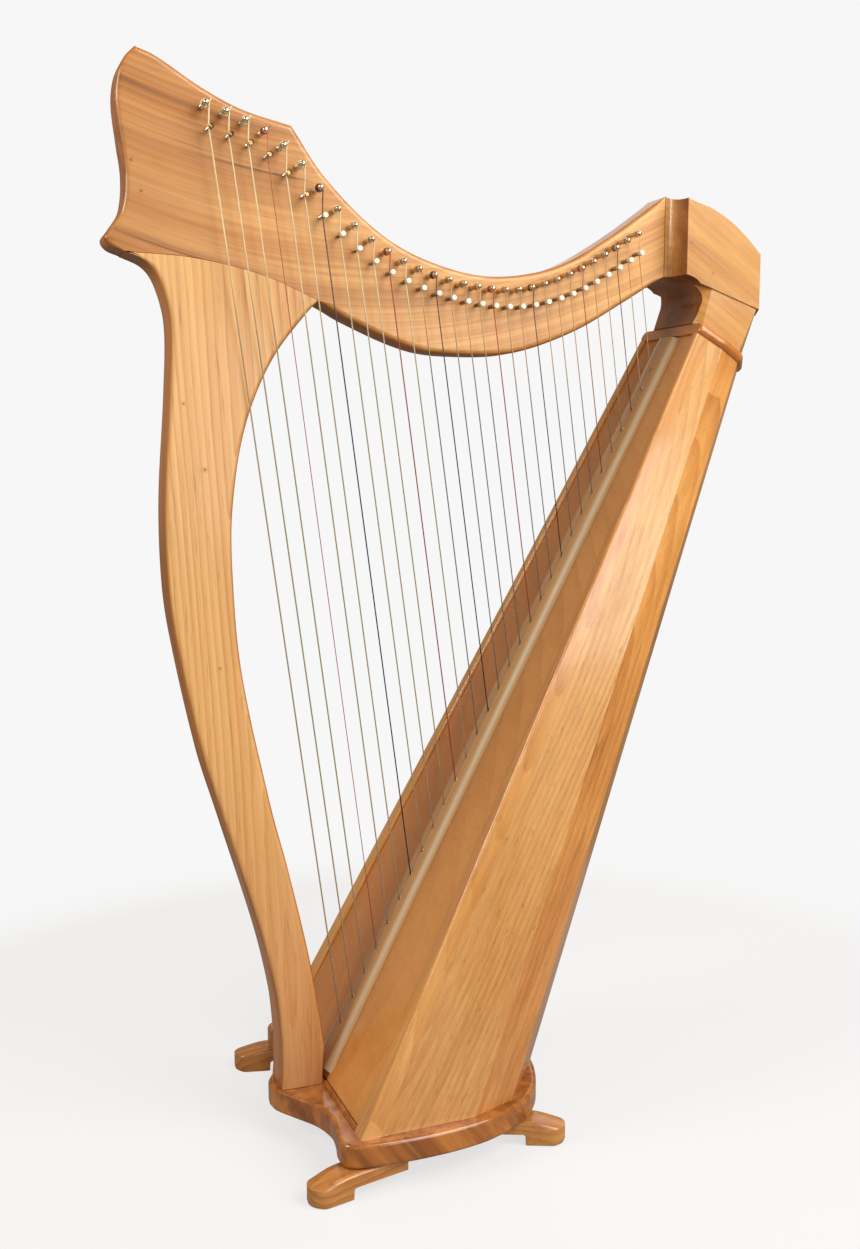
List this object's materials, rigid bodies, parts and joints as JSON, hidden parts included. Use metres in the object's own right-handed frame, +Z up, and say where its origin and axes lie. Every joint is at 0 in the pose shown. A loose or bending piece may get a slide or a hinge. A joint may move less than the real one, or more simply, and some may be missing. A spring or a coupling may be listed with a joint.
{
  "type": "folk floor harp",
  "caption": "Standing triangular wooden harp: curved neck, bowed column and leaning tapered soundbox on a footed base, with one row of strings, bridge pins and turning tuning pins.",
  "frame": {"origin": "on the floor, below the middle of the harp's bounding box", "axes": "+Z up; +X from the column towards the soundbox, which leans that way; +Y across the harp, away from the side of the neck that carries the strings"},
  "size_m": [0.6542, 0.312, 1],
  "materials": {
    "neck_wood": "semi-gloss lacquer over honey-coloured wood",
    "block_wood": "semi-gloss lacquer over honey-coloured wood",
    "column_wood": "semi-gloss lacquer over pale tan wood",
    "base_wood": "semi-gloss lacquer over reddish brown wood",
    "foot_wood": "semi-gloss lacquer over light honey wood",
    "rail_wood": "semi-gloss lacquer over orange-red wood",
    "collar_wood": "gloss lacquer over orange-brown wood",
    "board_wood": "semi-gloss lacquer over golden brown wood",
    "rib_wood": "semi-gloss lacquer over golden wood",
    "side_wood": "semi-gloss lacquer over pale yellow wood",
    "rear_wood": "semi-gloss lacquer over orange-brown wood",
    "inner_wood": "bare pale wood",
    "string": "smooth cream nylon",
    "tuning_pin": "bright nickel plate"
  },
  "bodies": {
    "root": {"base_plate": "base_wood", "bottom_block": "inner_wood", "brace_lower": "inner_wood", "brace_upper": "inner_wood", "collar": "collar_wood", "column": "column_wood", "foot_front_left": "foot_wood", "foot_front_right": "foot_wood", "foot_rear_left": "foot_wood", "foot_rear_right": "foot_wood", "foot_trim_left": "base_wood", "foot_trim_right": "base_wood", "neck": "neck_wood", "rail_left": "rail_wood", "rail_right": "rail_wood", "shoulder_block": "block_wood", "soundboard": "board_wood", "stave_back": "side_wood", "stave_corner_left": "rear_wood", "stave_corner_right": "rear_wood", "stave_rear_left": "rear_wood", "stave_rear_right": "rear_wood", "stave_side_left": "side_wood", "stave_side_right": "side_wood", "string_rib": "rib_wood", "string_set": "string", "top_block": "inner_wood"},
    "pin_01": {"tuning_pin_01": "tuning_pin"},
    "pin_02": {"tuning_pin_02": "tuning_pin"},
    "pin_03": {"tuning_pin_03": "tuning_pin"},
    "pin_04": {"tuning_pin_04": "tuning_pin"},
    "pin_05": {"tuning_pin_05": "tuning_pin"},
    "pin_06": {"tuning_pin_06": "tuning_pin"},
    "pin_07": {"tuning_pin_07": "tuning_pin"},
    "pin_08": {"tuning_pin_08": "tuning_pin"},
    "pin_09": {"tuning_pin_09": "tuning_pin"},
    "pin_10": {"tuning_pin_10": "tuning_pin"},
    "pin_11": {"tuning_pin_11": "tuning_pin"},
    "pin_12": {"tuning_pin_12": "tuning_pin"},
    "pin_13": {"tuning_pin_13": "tuning_pin"},
    "pin_14": {"tuning_pin_14": "tuning_pin"},
    "pin_15": {"tuning_pin_15": "tuning_pin"},
    "pin_16": {"tuning_pin_16": "tuning_pin"},
    "pin_17": {"tuning_pin_17": "tuning_pin"},
    "pin_18": {"tuning_pin_18": "tuning_pin"},
    "pin_19": {"tuning_pin_19": "tuning_pin"},
    "pin_20": {"tuning_pin_20": "tuning_pin"},
    "pin_21": {"tuning_pin_21": "tuning_pin"},
    "pin_22": {"tuning_pin_22": "tuning_pin"},
    "pin_23": {"tuning_pin_23": "tuning_pin"},
    "pin_24": {"tuning_pin_24": "tuning_pin"},
    "pin_25": {"tuning_pin_25": "tuning_pin"},
    "pin_26": {"tuning_pin_26": "tuning_pin"},
    "pin_27": {"tuning_pin_27": "tuning_pin"},
    "pin_28": {"tuning_pin_28": "tuning_pin"},
    "pin_29": {"tuning_pin_29": "tuning_pin"},
    "pin_30": {"tuning_pin_30": "tuning_pin"}
  },
  "joints": [
    {"name": "tune_01", "type": "hinge", "parent": "root", "child": "pin_01", "pos_m": [-0.24063, 0, 0.95408], "axis": [0, -1, 0], "range_deg": [-360, 90]},
    {"name": "tune_02", "type": "hinge", "parent": "root", "child": "pin_02", "pos_m": [-0.22332, 0, 0.94859], "axis": [0, -1, 0], "range_deg": [-360, 90]},
    {"name": "tune_03", "type": "hinge", "parent": "root", "child": "pin_03", "pos_m": [-0.2062, 0, 0.94291], "axis": [0, -1, 0], "range_deg": [-360, 90]},
    {"name": "tune_04", "type": "hinge", "parent": "root", "child": "pin_04", "pos_m": [-0.18927, 0, 0.93556], "axis": [0, -1, 0], "range_deg": [-360, 90]},
    {"name": "tune_05", "type": "hinge", "parent": "root", "child": "pin_05", "pos_m": [-0.17254, 0, 0.92439], "axis": [0, -1, 0], "range_deg": [-360, 90]},
    {"name": "tune_06", "type": "hinge", "parent": "root", "child": "pin_06", "pos_m": [-0.15601, 0, 0.90967], "axis": [0, -1, 0], "range_deg": [-360, 90]},
    {"name": "tune_07", "type": "hinge", "parent": "root", "child": "pin_07", "pos_m": [-0.13967, 0, 0.8908], "axis": [0, -1, 0], "range_deg": [-360, 90]},
    {"name": "tune_08", "type": "hinge", "parent": "root", "child": "pin_08", "pos_m": [-0.12353, 0, 0.87328], "axis": [0, -1, 0], "range_deg": [-360, 90]},
    {"name": "tune_09", "type": "hinge", "parent": "root", "child": "pin_09", "pos_m": [-0.10758, 0, 0.86008], "axis": [0, -1, 0], "range_deg": [-360, 90]},
    {"name": "tune_10", "type": "hinge", "parent": "root", "child": "pin_10", "pos_m": [-0.09183, 0, 0.84869], "axis": [0, -1, 0], "range_deg": [-360, 90]},
    {"name": "tune_11", "type": "hinge", "parent": "root", "child": "pin_11", "pos_m": [-0.07627, 0, 0.83895], "axis": [0, -1, 0], "range_deg": [-360, 90]},
    {"name": "tune_12", "type": "hinge", "parent": "root", "child": "pin_12", "pos_m": [-0.0609, 0, 0.83113], "axis": [0, -1, 0], "range_deg": [-360, 90]},
    {"name": "tune_13", "type": "hinge", "parent": "root", "child": "pin_13", "pos_m": [-0.04574, 0, 0.82507], "axis": [0, -1, 0], "range_deg": [-360, 90]},
    {"name": "tune_14", "type": "hinge", "parent": "root", "child": "pin_14", "pos_m": [-0.03076, 0, 0.82033], "axis": [0, -1, 0], "range_deg": [-360, 90]},
    {"name": "tune_15", "type": "hinge", "parent": "root", "child": "pin_15", "pos_m": [-0.01598, 0, 0.8166], "axis": [0, -1, 0], "range_deg": [-360, 90]},
    {"name": "tune_16", "type": "hinge", "parent": "root", "child": "pin_16", "pos_m": [-0.0014, 0, 0.81372], "axis": [0, -1, 0], "range_deg": [-360, 90]},
    {"name": "tune_17", "type": "hinge", "parent": "root", "child": "pin_17", "pos_m": [0.01299, 0, 0.81162], "axis": [0, -1, 0], "range_deg": [-360, 90]},
    {"name": "tune_18", "type": "hinge", "parent": "root", "child": "pin_18", "pos_m": [0.02718, 0, 0.81027], "axis": [0, -1, 0], "range_deg": [-360, 90]},
    {"name": "tune_19", "type": "hinge", "parent": "root", "child": "pin_19", "pos_m": [0.04118, 0, 0.80992], "axis": [0, -1, 0], "range_deg": [-360, 90]},
    {"name": "tune_20", "type": "hinge", "parent": "root", "child": "pin_20", "pos_m": [0.05498, 0, 0.81087], "axis": [0, -1, 0], "range_deg": [-360, 90]},
    {"name": "tune_21", "type": "hinge", "parent": "root", "child": "pin_21", "pos_m": [0.06858, 0, 0.81331], "axis": [0, -1, 0], "range_deg": [-360, 90]},
    {"name": "tune_22", "type": "hinge", "parent": "root", "child": "pin_22", "pos_m": [0.082, 0, 0.81713], "axis": [0, -1, 0], "range_deg": [-360, 90]},
    {"name": "tune_23", "type": "hinge", "parent": "root", "child": "pin_23", "pos_m": [0.09521, 0, 0.82189], "axis": [0, -1, 0], "range_deg": [-360, 90]},
    {"name": "tune_24", "type": "hinge", "parent": "root", "child": "pin_24", "pos_m": [0.10824, 0, 0.82743], "axis": [0, -1, 0], "range_deg": [-360, 90]},
    {"name": "tune_25", "type": "hinge", "parent": "root", "child": "pin_25", "pos_m": [0.12106, 0, 0.83365], "axis": [0, -1, 0], "range_deg": [-360, 90]},
    {"name": "tune_26", "type": "hinge", "parent": "root", "child": "pin_26", "pos_m": [0.13369, 0, 0.8404], "axis": [0, -1, 0], "range_deg": [-360, 90]},
    {"name": "tune_27", "type": "hinge", "parent": "root", "child": "pin_27", "pos_m": [0.14613, 0, 0.84754], "axis": [0, -1, 0], "range_deg": [-360, 90]},
    {"name": "tune_28", "type": "hinge", "parent": "root", "child": "pin_28", "pos_m": [0.15837, 0, 0.85491], "axis": [0, -1, 0], "range_deg": [-360, 90]},
    {"name": "tune_29", "type": "hinge", "parent": "root", "child": "pin_29", "pos_m": [0.17042, 0, 0.86226], "axis": [0, -1, 0], "range_deg": [-360, 90]},
    {"name": "tune_30", "type": "hinge", "parent": "root", "child": "pin_30", "pos_m": [0.18227, 0, 0.86942], "axis": [0, -1, 0], "range_deg": [-360, 90]}
  ]
}
